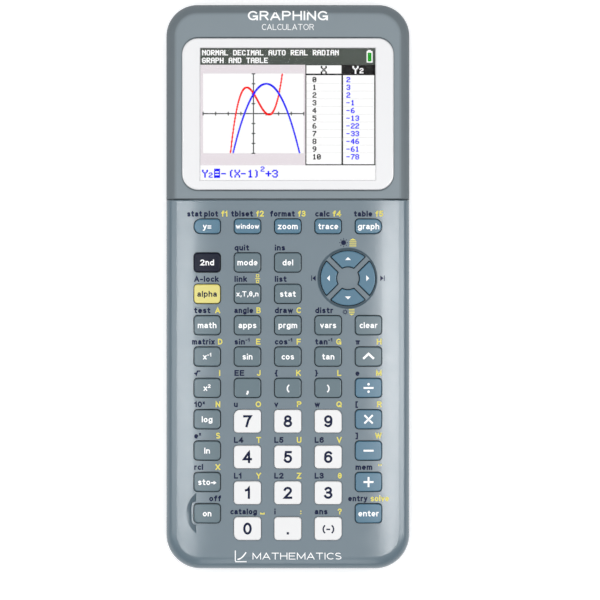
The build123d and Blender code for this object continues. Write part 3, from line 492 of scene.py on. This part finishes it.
LETTERS = {
    "a": [
        arc(0.22, 0.48, 0.19, 0.2, 145, 0) + [(0.41, 0.1), (0.45, 0.04)],
        [(0.41, 0.4), (0.19, 0.36)] + arc(0.18, 0.18, 0.18, 0.18, 100, 270) + [(0.41, 0.14)],
    ],
    "b": [stem(0), BOWL],
    "c": [arc(0.24, 0.34, 0.24, 0.34, 58, 302)],
    "d": [BOWL, stem(0.48)],
    "e": [[(0.06, 0.34), (0.47, 0.34)] + arc(0.24, 0.34, 0.24, 0.34, 20, 296)],
    "f": [[(0.32, 1), (0.22, 1), (0.14, 0.9), (0.14, 0)], [(0, 0.66), (0.3, 0.66)]],
    "g": [BOWL, [(0.48, 0.68), (0.48, -0.08)] + arc(0.24, -0.08, 0.24, 0.22, -10, -155)],
    "h": [stem(0), ARCH],
    "i": [stem(0, 0, 0.58), dot(0, 0.99)],
    "k": [stem(0), [(0.4, 0.68), (0.02, 0.26)], [(0.15, 0.4), (0.44, 0)]],
    "l": [stem(0)],
    "m": [
        stem(0, 0, X_HEIGHT),
        [(0, 0.42)] + arc(0.19, 0.47, 0.19, 0.21, 170, 0) + [(0.38, 0)],
        [(0.38, 0.42)] + arc(0.57, 0.47, 0.19, 0.21, 170, 0) + [(0.76, 0)],
    ],
    "n": [stem(0, 0, X_HEIGHT), ARCH],
    "o": [BOWL],
    "p": [stem(0, -0.3, X_HEIGHT), BOWL],
    "q": [BOWL, stem(0.48, -0.3, X_HEIGHT)],
    "r": [stem(0, 0, X_HEIGHT), [(0, 0.4)] + arc(0.2, 0.44, 0.2, 0.24, 170, 80)],
    "s": [SMALL_S],
    "t": [[(0.13, 0.92), (0.13, 0.1), (0.2, 0), (0.32, 0)], [(0, 0.66), (0.31, 0.66)]],
    "u": [[(0, 0.68)] + arc(0.21, 0.21, 0.21, 0.21, 180, 350), stem(0.43, 0, X_HEIGHT)],
    "v": [[(0, 0.68), (0.22, 0), (0.44, 0.68)]],
    "w": [[(0, 0.68), (0.17, 0), (0.34, 0.64), (0.51, 0), (0.68, 0.68)]],
    "x": [[(0, 0.68), (0.42, 0)], [(0, 0), (0.42, 0.68)]],
    "y": [[(0, 0.68), (0.22, 0.04)], [(0.44, 0.68), (0.18, -0.16), (0.1, -0.3), (0, -0.3)]],
    "z": [[(0, 0.68), (0.4, 0.68), (0, 0), (0.42, 0)]],
    "A": [[(0, 0), (0.33, 1), (0.66, 0)], [(0.12, 0.3), (0.54, 0.3)]],
    "B": [
        [(0, 0), (0, 1), (0.34, 1)] + arc(0.34, 0.77, 0.2, 0.23, 80, -90) + [(0, 0.54)],
        [(0.3, 0.54)] + arc(0.36, 0.27, 0.23, 0.27, 90, -90) + [(0, 0)],
    ],
    "C": [arc(0.34, 0.5, 0.34, 0.5, 50, 310)],
    "D": [("closed", [(0, 0), (0, 1), (0.26, 1)] + arc(0.26, 0.5, 0.35, 0.5, 75, -90))],
    "E": [[(0.54, 1), (0, 1), (0, 0), (0.56, 0)], [(0, 0.52), (0.48, 0.52)]],
    "F": [[(0.52, 1), (0, 1), (0, 0)], [(0, 0.5), (0.45, 0.5)]],
    "G": [arc(0.34, 0.5, 0.34, 0.5, 42, 330) + [(0.66, 0.42), (0.38, 0.42)], stem(0.66, 0, 0.3)],
    "H": [stem(0), stem(0.6), [(0, 0.52), (0.6, 0.52)]],
    "I": [stem(0)],
    "J": [[(0.42, 1)] + arc(0.21, 0.24, 0.21, 0.24, 0, -165)],
    "K": [stem(0), [(0.54, 1), (0.02, 0.38)], [(0.2, 0.6), (0.6, 0)]],
    "L": [[(0, 1), (0, 0), (0.48, 0)]],
    "M": [[(0, 0), (0, 1), (0.36, 0.12), (0.72, 1), (0.72, 0)]],
    "N": [[(0, 0), (0, 1), (0.58, 0), (0.58, 1)]],
    "O": [loop(0.36, 0.5, 0.36, 0.5)],
    "P": [CAPITAL_P],
    "Q": [loop(0.36, 0.5, 0.36, 0.5), [(0.42, 0.24), (0.7, -0.04)]],
    "R": [CAPITAL_P, [(0.32, 0.5), (0.56, 0)]],
    "S": [CAPITAL_S],
    "T": [[(0, 1), (0.6, 1)], stem(0.3)],
    "U": [[(0, 1)] + arc(0.29, 0.28, 0.29, 0.28, 180, 360) + [(0.58, 1)]],
    "V": [[(0, 1), (0.32, 0), (0.64, 1)]],
    "W": [[(0, 1), (0.22, 0), (0.44, 0.94), (0.66, 0), (0.88, 1)]],
    "X": [[(0, 1), (0.6, 0)], [(0, 0), (0.6, 1)]],
    "Y": [[(0, 1), (0.31, 0.46), (0.62, 1)], stem(0.31, 0, 0.44)],
    "Z": [[(0, 1), (0.56, 1), (0, 0), (0.58, 0)]],
    "0": [loop(0.27, 0.5, 0.27, 0.5)],
    "1": [[(0, 0.76), (0.14, 0.8), (0.24, 1), (0.24, 0)]],
    "2": [arc(0.27, 0.73, 0.26, 0.27, 165, -40) + [(0.02, 0), (0.55, 0)]],
    "3": [
        arc(0.26, 0.765, 0.23, 0.235, 155, -90) + [(0.18, 0.53)],
        [(0.2, 0.53)] + arc(0.26, 0.265, 0.27, 0.265, 85, -160),
    ],
    "4": [[(0.42, 0), (0.42, 1), (0, 0.28), (0.58, 0.28)]],
    "5": [[(0.5, 1), (0.1, 1), (0.05, 0.52)] + arc(0.26, 0.32, 0.27, 0.32, 130, -155)],
    "6": [arc(0.29, 0.66, 0.27, 0.34, 40, 185) + [(0.01, 0.36)], loop(0.27, 0.31, 0.26, 0.31)],
    "7": [[(0, 1), (0.54, 1), (0.34, 0.62), (0.2, 0)]],
    "8": [loop(0.27, 0.765, 0.22, 0.235), loop(0.27, 0.265, 0.27, 0.265)],
    "9": [arc(0.25, 0.34, 0.27, 0.34, 220, 365) + [(0.53, 0.64)], loop(0.27, 0.69, 0.26, 0.31)],
    "=": [[(0, 0.14), (0.44, 0.14)], [(0, 0.56), (0.44, 0.56)]],
    "-": [[(0, 0.38), (0.3, 0.38)]],
    ",": [[(0.06, 0.04), (0.06, -0.06), (0, -0.2)]],
    ".": [dot(0, 0.02)],
    ":": [dot(0, 0.06), dot(0, 0.56)],
    "(": [arc(0.46, 0.4, 0.42, 0.66, 125, 235)],
    ")": [arc(-0.2, 0.4, 0.42, 0.66, 55, -55)],
    "[": [[(0.2, 1.04), (0, 1.04), (0, -0.16), (0.2, -0.16)]],
    "]": [[(0, 1.04), (0.2, 1.04), (0.2, -0.16), (0, -0.16)]],
    "{": [BRACE],
    "}": [[(0.26 - x, y) for x, y in BRACE]],
    "?": [arc(0.24, 0.76, 0.24, 0.24, 170, -40) + [(0.24, 0.42), (0.24, 0.3)], dot(0.24, 0.02)],
    '"': [stem(0, 0.86, 0.98), stem(0.36, 0.86, 0.98)],
    "_": [[(0, 0.14), (0, 0), (0.62, 0), (0.62, 0.14)]],
    "→": [[(0, 0.36), (0.62, 0.36)], [(0.4, 0.58), (0.66, 0.36), (0.4, 0.14)]],
    "θ": [loop(0.23, 0.5, 0.23, 0.5), [(0.04, 0.5), (0.42, 0.5)]],
    "π": [[(0, 0.64), (0.56, 0.64)], stem(0.14, 0, 0.62), stem(0.42, 0, 0.62)],
    "√": [[(0, 0.4), (0.12, 0.44), (0.26, 0.02), (0.46, 0.92), (0.86, 0.92)]],
}
WORD_SPACE = 0.28
LETTER_GAP = 0.13
STRETCH = 1.26
SQUEEZED = 1.14
WEIGHT = 0.225
SUPERSCRIPT = 0.62


def lengthened(points, reach):
    """The same path carried on past both ends."""
    first, second = Vector(points[0]), Vector(points[1])
    last, before = Vector(points[-1]), Vector(points[-2])
    start = first + (first - second).normalized() * reach
    end = last + (last - before).normalized() * reach
    return [tuple(start), *points[1:-1], tuple(end)]


class Label:
    """A word set at a cap height, with what follows a ^ raised and smaller."""

    def __init__(self, words, cap, weight=WEIGHT, stretch=STRETCH):
        self.strokes = []
        self.width = 0.0
        self.cap = cap
        main, _, raised = words.partition("^")
        self.append(main, cap, 0.0, weight, stretch)
        if raised:
            self.width += 0.1 * cap
            self.append(raised, cap * SUPERSCRIPT, cap * 0.5, weight * 1.2, stretch)

    def append(self, words, cap, lift, weight, stretch):
        """Lays the letters side by side, each by its own width."""
        scale = cap / (1 + weight)
        pen = weight / 2
        for letter in words:
            if letter == " ":
                pen += WORD_SPACE
                continue
            reach = 0.0
            for layer, stroke in enumerate(LETTERS[letter]):
                closed = stroke[0] == "closed"
                points = stroke[1] if closed else stroke
                reach = max(reach, max(x for x, _ in points))
                laid = [
                    (self.width + (pen + x * stretch) * scale, lift + (y + weight / 2) * scale)
                    for x, y in points
                ]
                if not closed:
                    laid = lengthened(laid, weight * scale / 2)
                self.strokes.append((laid, weight * scale, closed, 1 + layer * LAYER_RISE))
            pen += (reach + LETTER_GAP) * stretch + weight
        self.width += (pen - weight / 2 - LETTER_GAP * stretch) * scale

    def put(self, target, left, middle_y):
        """Adds the word to target with its left end at left and its capitals centred."""
        for points, width, closed, height in self.strokes:
            moved = [(left + x, middle_y + y - self.cap / 2) for x, y in points]
            band(target, moved, width, closed, high=height)


surfaces = {}


def surface_of(node):
    """Tree for finding the height of a node's top face."""
    if node not in surfaces:
        mesh = nodes[node].data
        points = [vertex.co / MM for vertex in mesh.vertices]
        surfaces[node] = BVHTree.FromPolygons(points, [face.vertices for face in mesh.polygons])
    return surfaces[node]


def print_on(shape, name, node, material, body):
    """Lays a flat shape on the top face of a CAD node as a thin closed layer of ink."""
    surface = surface_of(node)
    for vertex in shape.verts:
        hit = surface.ray_cast(Vector((vertex.co.x, vertex.co.y, 40)), Vector((0, 0, -1)))[0]
        if hit is None:
            raise ValueError(f"{name} has a point off {node}")
        top = vertex.co.z > 0
        vertex.co.z = hit.z + (INK_RISE + vertex.co.z - 1 if top else -INK_SINK)
    bmesh.ops.scale(shape, vec=(MM, MM, MM), verts=shape.verts)
    bmesh.ops.recalc_face_normals(shape, faces=shape.faces)
    mesh = bpy.data.meshes.new(name)
    shape.to_mesh(mesh)
    shape.free()
    mesh.materials.append(material)
    piece = bpy.data.objects.new(name, mesh)
    bpy.context.scene.collection.objects.link(piece)
    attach(piece, body)
    return piece


# ------------------------------------------------------------- key legends

KEY_WORD = 2.0
KEY_NUMBER = 4.07
NUMBER_STRETCH = 1.2
NUMBER_WEIGHT = 0.23
SIDE_WORD = 1.98
NAVY_WEIGHT = 0.3
YELLOW_WEIGHT = 0.24
SIDE_LIFT = 1.85
PAIR_GAP = 1.1

# node word: (on the key, cap height, above left, above right)
LEGENDS = {
    "y_equals": ("y=", KEY_WORD, "stat plot", "f1"),
    "window": ("window", 1.7, "tblset", "f2"),
    "zoom": ("zoom", KEY_WORD, "format", "f3"),
    "trace": ("trace", KEY_WORD, "calc", "f4"),
    "graph": ("graph", KEY_WORD, "table", "f5"),
    "2nd": ("2nd", KEY_WORD, "", ""),
    "mode": ("mode", KEY_WORD, "quit", ""),
    "del": ("del", KEY_WORD, "ins", ""),
    "alpha": ("alpha", KEY_WORD, "A-lock", ""),
    "variable": ("x,T,θ,n", 1.75, "link", ""),
    "stat": ("stat", KEY_WORD, "list", ""),
    "math": ("math", KEY_WORD, "test", "A"),
    "apps": ("apps", KEY_WORD, "angle", "B"),
    "prgm": ("prgm", KEY_WORD, "draw", "C"),
    "vars": ("vars", KEY_WORD, "distr", ""),
    "clear": ("clear", KEY_WORD, "", ""),
    "inverse": ("x^-1", KEY_WORD, "matrix", "D"),
    "sin": ("sin", KEY_WORD, "sin^-1", "E"),
    "cos": ("cos", KEY_WORD, "cos^-1", "F"),
    "tan": ("tan", KEY_WORD, "tan^-1", "G"),
    "power": ("", KEY_WORD, "π", "H"),
    "square": ("x^2", KEY_WORD, "√", "I"),
    "comma": (",", 3.4, "EE", "J"),
    "left_bracket": ("(", 2.4, "{", "K"),
    "right_bracket": (")", 2.4, "}", "L"),
    "divide": ("", KEY_WORD, "e", "M"),
    "log": ("log", KEY_WORD, "10^x", "N"),
    "7": ("7", KEY_NUMBER, "u", "O"),
    "8": ("8", KEY_NUMBER, "v", "P"),
    "9": ("9", KEY_NUMBER, "w", "Q"),
    "multiply": ("", KEY_WORD, "[", "R"),
    "ln": ("ln", KEY_WORD, "e^x", "S"),
    "4": ("4", KEY_NUMBER, "L4", "T"),
    "5": ("5", KEY_NUMBER, "L5", "U"),
    "6": ("6", KEY_NUMBER, "L6", "V"),
    "minus": ("", KEY_WORD, "]", "W"),
    "store": ("sto→", KEY_WORD, "rcl", "X"),
    "1": ("1", KEY_NUMBER, "L1", "Y"),
    "2": ("2", KEY_NUMBER, "L2", "Z"),
    "3": ("3", KEY_NUMBER, "L3", "θ"),
    "plus": ("", KEY_WORD, "mem", '"'),
    "on": ("on", KEY_WORD, "", ""),
    "0": ("0", KEY_NUMBER, "catalog", "_"),
    "point": (".", KEY_NUMBER, "i", ":"),
    "negative": ("(-)", 2.6, "ans", "?"),
    "enter": ("enter", KEY_WORD, "entry", "solve"),
}


def sign(shape, word, x, y):
    """Operator signs, drawn as plain bars."""
    half, width = 1.7, 0.62
    if word == "plus":
        band(shape, [(x - half, y), (x + half, y)], width)
        band(shape, [(x, y - half), (x, y - width / 2)], width)
        band(shape, [(x, y + width / 2), (x, y + half)], width)
    elif word == "minus":
        band(shape, [(x - half, y), (x + half, y)], width)
    elif word == "multiply":
        arm = half * 0.82
        band(shape, [(x - arm, y - arm), (x + arm, y + arm)], width)
        band(shape, [(x - arm, y + arm), (x - width / 2, y + width / 2)], width)
        band(shape, [(x + width / 2, y - width / 2), (x + arm, y - arm)], width)
    elif word == "divide":
        band(shape, [(x - half, y), (x + half, y)], width)
        prism(shape, circle(x, y + 1.25, 0.42))
        prism(shape, circle(x, y - 1.25, 0.42))
    elif word == "power":
        band(shape, [(x - 1.8, y - 0.75), (x, y + 0.95), (x + 1.8, y - 0.75)], 0.72)


def key_centre(node):
    low, high = node_box(node)
    return (low.x + high.x) / 2, (low.y + high.y) / 2


navy_print = bmesh.new()
yellow_print = bmesh.new()
white_print = bmesh.new()


def add_key_legend(word, main, cap):
    node = f"key_{word}"
    x, y = key_centre(node)
    shape = bmesh.new()
    if main:
        plain_number = main in "0123456789."
        weight = NUMBER_WEIGHT if plain_number else WEIGHT
        label = Label(main, cap, weight, NUMBER_STRETCH if plain_number else STRETCH)
        label.put(shape, x - label.width / 2, y)
    else:
        sign(shape, word, x, y)
    dark = node in WHITE_NODES or word == "alpha"
    ink = NAVY_INK if dark else WHITE_INK
    print_on(shape, f"legend_{word}", node, ink, f"{node}_cap")


def add_side_legends(word, above_left, above_right):
    """The two small legends on the faceplate above a key."""
    low, high = node_box(f"key_{word}")
    left, right = low.x + FLANGE, high.x - FLANGE
    y = high.y - FLANGE + SIDE_LIFT
    navy = Label(above_left, SIDE_WORD, NAVY_WEIGHT) if above_left else None
    yellow = Label(above_right, SIDE_WORD, YELLOW_WEIGHT) if above_right else None
    if navy and yellow and navy.width + PAIR_GAP + yellow.width > right - left:
        navy = Label(above_left, SIDE_WORD, NAVY_WEIGHT, SQUEEZED)
        yellow = Label(above_right, SIDE_WORD, YELLOW_WEIGHT, SQUEEZED)
        spare = navy.width + PAIR_GAP + yellow.width - (right - left)
        left -= spare / 2
        right += spare / 2
    if navy:
        navy.put(navy_print, left, y)
    if yellow:
        yellow.put(yellow_print, right - yellow.width, y)


for word, (main, cap, above_left, above_right) in LEGENDS.items():
    add_key_legend(word, main, cap)
    add_side_legends(word, above_left, above_right)


def add_off_legend():
    """The small legend above the ON key, at its right end."""
    high = node_box("key_on")[1]
    label = Label("off", SIDE_WORD, NAVY_WEIGHT)
    label.put(navy_print, high.x - FLANGE - label.width + 0.3, high.y - FLANGE + SIDE_LIFT)


def add_fraction_icon():
    """Small box over box beside the word above the variable key."""
    high = node_box("key_variable")[1]
    x = high.x - FLANGE - 1.0
    y = high.y - FLANGE + SIDE_LIFT + 0.1
    band(yellow_print, [(x - 0.85, y), (x + 0.85, y)], 0.26)
    for lift in (0.95, -0.95):
        corners = [(x - 0.4, y + lift - 0.4), (x + 0.4, y + lift - 0.4)]
        corners += [(x + 0.4, y + lift + 0.4), (x - 0.4, y + lift + 0.4)]
        band(yellow_print, corners, 0.26, closed=True)


def pad_centre():
    left_low, left_high = node_box("key_left")
    right_end = node_box("key_right")[1].x
    return (left_low.x + right_end) / 2, (left_low.y + left_high.y) / 2


def add_pad_icons():
    """Brightness suns, page arrows and line-end marks round the arrow keys."""
    x, y = pad_centre()
    sun = (x - 1.48, y + 12.0)
    prism(navy_print, circle(*sun, 0.85))
    dim = (x - 0.95, y - 11.4)
    band(navy_print, circle(*dim, 0.5, 16), 0.26, closed=True)
    for centre, start, end, width in ((sun, 1.05, 1.5, 0.24), (dim, 0.75, 1.0, 0.2)):
        for i in range(8):
            turn = math.pi * i / 4
            step = (math.cos(turn), math.sin(turn))
            inner = (centre[0] + step[0] * start, centre[1] + step[1] * start)
            outer = (centre[0] + step[0] * end, centre[1] + step[1] * end)
            band(navy_print, [inner, outer], width)
    for middle, up, scale in (((x + 1.65, y + 12.0), 1, 1.0), ((x + 1.25, y - 11.4), -1, 0.8)):
        half = 1.15 * scale
        tip = [(middle[0] - half, middle[1] + up * 0.75 * scale)]
        tip.append((middle[0] + half, middle[1] + up * 0.75 * scale))
        tip.append((middle[0], middle[1] + up * 1.4 * scale))
        prism(yellow_print, tip if up > 0 else list(reversed(tip)))
        for i in range(3):
            level = middle[1] + up * scale * (0.25 - 0.68 * i)
            band(yellow_print, [(middle[0] - half, level), (middle[0] + half, level)], 0.3 * scale)
    for side in (-1, 1):
        mark = x + side * 11.65
        band(navy_print, [(mark + side * 0.6, y - 0.95), (mark + side * 0.6, y + 0.95)], 0.26)
        head = [(mark - side * 0.75, y - 0.95), (mark + side * 0.35, y), (mark - side * 0.75, y + 0.95)]
        if side < 0:
            head = [(mark + 0.75, y - 0.95), (mark + 0.75, y + 0.95), (mark - 0.35, y)]
        prism(navy_print, head)


def add_arrow_legends():
    """White triangle on each arrow key, pointing away from the middle."""
    x, y = pad_centre()
    for word, (dx, dy) in {"right": (1, 0), "up": (0, 1), "left": (-1, 0), "down": (0, -1)}.items():
        shape = bmesh.new()
        base, tip, half = 6.15, 7.1, 1.0
        points = [
            (x + dx * base + dy * half, y + dy * base - dx * half),
            (x + dx * tip, y + dy * tip),
            (x + dx * base - dy * half, y + dy * base + dx * half),
        ]
        prism(shape, points)
        node = f"key_{word}"
        print_on(shape, f"legend_{word}", node, WHITE_INK, f"{node}_cap")


add_off_legend()
add_fraction_icon()
add_pad_icons()
add_arrow_legends()


# ---------------------------------------------------- words on the two shells


def centred_label(shape, words, cap, width, x, y, weight):
    """Sets a word at a cap height and stretches it to a given width."""
    wide, narrow = Label(words, cap, weight, 2.0), Label(words, cap, weight, 1.0)
    stretch = 1.0 + (width - narrow.width) / (wide.width - narrow.width)
    label = Label(words, cap, weight, stretch)
    label.put(shape, x - label.width / 2, y)


def add_mark(x, y):
    """Small plain sign: a pair of axes with a curve."""
    half = 1.9
    band(white_print, [(x - half, y - half), (x + half, y - half)], 0.34)
    band(white_print, [(x - half, y - half + 0.17), (x - half, y + half)], 0.34)
    steps = 8
    curve = []
    for i in range(steps + 1):
        t = i / steps
        curve.append((x - half + 0.7 + 2.9 * t, y - half + 0.8 + 2.4 * t * t))
    band(white_print, curve, 0.42)


foot_y = node_box("keypad_faceplate")[0].y + 4.4
add_mark(-15.8, foot_y)
centred_label(white_print, "MATHEMATICS", 2.3, 30.0, 3.1, foot_y, 0.14)
title_print = bmesh.new()
housing_end = node_box("display_housing")[1].y
centred_label(title_print, "GRAPHING", 3.2, 27.0, 0.0, housing_end - 3.85, 0.2)
centred_label(title_print, "CALCULATOR", 2.0, 17.5, 0.0, housing_end - 7.7, 0.11)

print_on(navy_print, "navy_legends", "keypad_faceplate", NAVY_INK, BODY)
print_on(yellow_print, "yellow_legends", "keypad_faceplate", YELLOW_INK, BODY)
print_on(white_print, "foot_legend", "keypad_faceplate", WHITE_INK, BODY)
print_on(title_print, "title_legend", "display_housing", WHITE_INK, BODY)

# ------------------------------------------------------------------- screen

# Seven rows of five dots, from the top
PIXEL_FONT = {
    "A": ".###. #...# #...# ##### #...# #...# #...#",
    "B": "####. #...# #...# ####. #...# #...# ####.",
    "C": ".###. #...# #.... #.... #.... #...# .###.",
    "D": "####. #...# #...# #...# #...# #...# ####.",
    "E": "##### #.... #.... ####. #.... #.... #####",
    "G": ".###. #...# #.... #.### #...# #...# .###.",
    "H": "#...# #...# #...# ##### #...# #...# #...#",
    "I": ".###. ..#.. ..#.. ..#.. ..#.. ..#.. .###.",
    "L": "#.... #.... #.... #.... #.... #.... #####",
    "M": "#...# ##.## #.#.# #.#.# #...# #...# #...#",
    "N": "#...# ##..# #.#.# #..## #...# #...# #...#",
    "O": ".###. #...# #...# #...# #...# #...# .###.",
    "P": "####. #...# #...# ####. #.... #.... #....",
    "R": "####. #...# #...# ####. #.#.. #..#. #...#",
    "T": "##### ..#.. ..#.. ..#.. ..#.. ..#.. ..#..",
    "U": "#...# #...# #...# #...# #...# #...# .###.",
    "X": "#...# #...# .#.#. ..#.. .#.#. #...# #...#",
    "Y": "#...# #...# .#.#. ..#.. ..#.. ..#.. ..#..",
    "0": ".###. #...# #..## #.#.# ##..# #...# .###.",
    "1": "..#.. .##.. ..#.. ..#.. ..#.. ..#.. .###.",
    "2": ".###. #...# ....# ..##. .#... #.... #####",
    "3": ".###. #...# ....# ..##. ....# #...# .###.",
    "4": "...#. ..##. .#.#. #..#. ##### ...#. ...#.",
    "5": "##### #.... ####. ....# ....# #...# .###.",
    "6": "..##. .#... #.... ####. #...# #...# .###.",
    "7": "##### ....# ...#. ..#.. ..#.. .#... .#...",
    "8": ".###. #...# #...# .###. #...# #...# .###.",
    "9": ".###. #...# #...# .#### ....# ...#. .##..",
    "-": "..... ..... ..... ####. ..... ..... .....",
    "+": "..... ..#.. ..#.. ##### ..#.. ..#.. .....",
    "(": "...#. ..#.. ..#.. ..#.. ..#.. ..#.. ...#.",
    ")": ".#... ..#.. ..#.. ..#.. ..#.. ..#.. .#...",
}
panel_top = node_box("display_module")[1].z
LAYER = 0.03
STROKE_SPREAD = 1.0
CURVE_HALF = 1.5
AXIS_HALF = 1.0

INKS = {
    "status": (75, 82, 76),
    "white": (255, 255, 255),
    "lilac": (231, 223, 228),
    "pale": (232, 232, 232),
    "axis": (52, 54, 56),
    "black": (6, 6, 6),
    "blue": (14, 14, 252),
    "red": (253, 20, 20),
    "green": (10, 160, 16),
}
screen_shapes = {ink: bmesh.new() for ink in INKS}


def dots(ink, x0, y0, x1, y1, layer=1):
    """A block of the screen, in dots from its upper left corner."""
    left = SCREEN_X - SCREEN_WIDTH / 2
    top = SCREEN_Y + SCREEN_HEIGHT / 2
    low = panel_top + LAYER * (layer - 1) + 0.01
    high = panel_top + LAYER * layer + 0.01
    rectangle(
        screen_shapes[ink],
        left + x0 * DOT_WIDTH,
        top - y1 * DOT_HEIGHT,
        left + x1 * DOT_WIDTH,
        top - y0 * DOT_HEIGHT,
        low,
        high,
    )


def screen_text(ink, words, x, y, cell=(1.25, 1.35), pitch=8.1, layer=4):
    """Dot-matrix words: x is their left side and y their top, in dots."""
    for place, letter in enumerate(words):
        if letter == " ":
            continue
        for row, line in enumerate(PIXEL_FONT[letter].split()):
            column = 0
            while column < len(line):
                if line[column] == "#":
                    run = column
                    while run < len(line) and line[run] == "#":
                        run += 1
                    left = x + place * pitch
                    top = y + row * cell[1]
                    right = left + run * cell[0] + STROKE_SPREAD
                    bottom = top + cell[1] + STROKE_SPREAD / 2
                    dots(ink, left + column * cell[0], top, right, bottom, layer)
                    column = run
                column += 1


def draw_status():
    """Two lines of mode words and the battery sign."""
    dots("status", 0, 0, 320, 30)
    screen_text("white", "NORMAL DECIMAL AUTO REAL RADIAN", 3, 3)
    screen_text("white", "GRAPH AND TABLE", 3, 17)
    dots("white", 306, 3, 312, 5, 2)
    dots("white", 304, 5, 315, 26, 2)
    dots("green", 306, 8, 313, 24, 3)


def draw_table():
    """X and Y columns, with the values of the blue curve."""
    dots("black", 192, 30, 320, 213)
    dots("white", 194, 31, 258, 46, 2)
    dots("white", 194, 49, 258, 211, 2)
    dots("white", 261, 49, 318, 211, 2)
    screen_text("black", "X", 220, 32, (2.1, 2.0), 12)
    screen_text("white", "Y", 278, 32, (2.1, 2.0), 12)
    screen_text("white", "2", 291, 36, (1.3, 1.3), 12)
    for row in range(11):
        top = 52 + 14.05 * row
        value = 3 - (row - 1) ** 2
        screen_text("black", str(row), 205, top)
        screen_text("blue", str(value), 267, top)
        if row:
            dots("pale", 194, top - 2.6, 258, top - 1.8, 3)
            dots("pale", 261, top - 2.6, 318, top - 1.8, 3)


# In dots: the plot's box, the place of 0, 0 and the size of 1
PLOT = (5, 46, 189, 191)
ORIGIN = (97.1, 118.9)
UNIT = (23.04, 18.1)


def draw_curve(ink, height_at):
    """A function's curve, as one narrow block for each dot across, clipped to the plot."""
    x = PLOT[0]
    previous = None
    while x < PLOT[2] - 1.5:
        value = height_at((x - ORIGIN[0]) / UNIT[0])
        y = ORIGIN[1] - value * UNIT[1]
        previous = y if previous is None else previous
        top, bottom = min(y, previous) - CURVE_HALF, max(y, previous) + CURVE_HALF
        top, bottom = max(top, PLOT[1]), min(bottom, PLOT[3])
        if bottom > top:
            dots(ink, x - 1.2, top, x + 1.2, bottom, 6 if ink == "blue" else 5)
        previous = y
        x += 1


def draw_plot():
    """Axes with their ticks, and the two curves."""
    dots("lilac", 0, 30, 192, 213)
    dots("white", *PLOT, 2)
    x, y = ORIGIN
    half, long = AXIS_HALF, 3.4
    dots("axis", x - half, PLOT[1], x + half, PLOT[3], 3)
    dots("axis", PLOT[0], y - half, PLOT[2], y + half, 3)
    for tick in (-4, -3, -2, -1, 1, 2, 3, 4):
        across = x + tick * UNIT[0]
        down = y + tick * UNIT[1]
        dots("axis", across - half, y - long, across + half, y + long, 4)
        dots("axis", x - long, down - half, x + long, down + half, 4)
    draw_curve("red", lambda v: v**3 - v**2 - 2 * v + 2)
    draw_curve("blue", lambda v: 3 - (v - 1) ** 2)


def draw_equation():
    """The blue curve's formula, its equals sign in an inverse block."""
    dots("white", 0, 213, 320, 240)
    screen_text("blue", "Y", 3, 221, (2.0, 2.0), 12)
    screen_text("blue", "2", 15, 226, (1.3, 1.3), 12)
    dots("blue", 25, 219, 36, 236, 2)
    dots("white", 27, 224, 34, 226, 4)
    dots("white", 27, 229, 34, 231, 4)
    screen_text("blue", "-(X-1)", 38, 221, (2.0, 2.0), 12)
    screen_text("blue", "2", 110, 215, (1.3, 1.3), 12)
    screen_text("blue", "+3", 119, 221, (2.0, 2.0), 12)


def finish_screen():
    """One piece for each colour of the lit screen."""
    for ink, shape in screen_shapes.items():
        bmesh.ops.scale(shape, vec=(MM, MM, MM), verts=shape.verts)
        mesh = bpy.data.meshes.new(f"screen_{ink}")
        shape.to_mesh(mesh)
        shape.free()
        mesh.materials.append(screen_light(f"screen_{ink}", linear(INKS[ink])))
        piece = bpy.data.objects.new(f"screen_{ink}", mesh)
        bpy.context.scene.collection.objects.link(piece)
        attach(piece, BODY)


draw_status()
draw_plot()
draw_table()
draw_equation()
finish_screen()
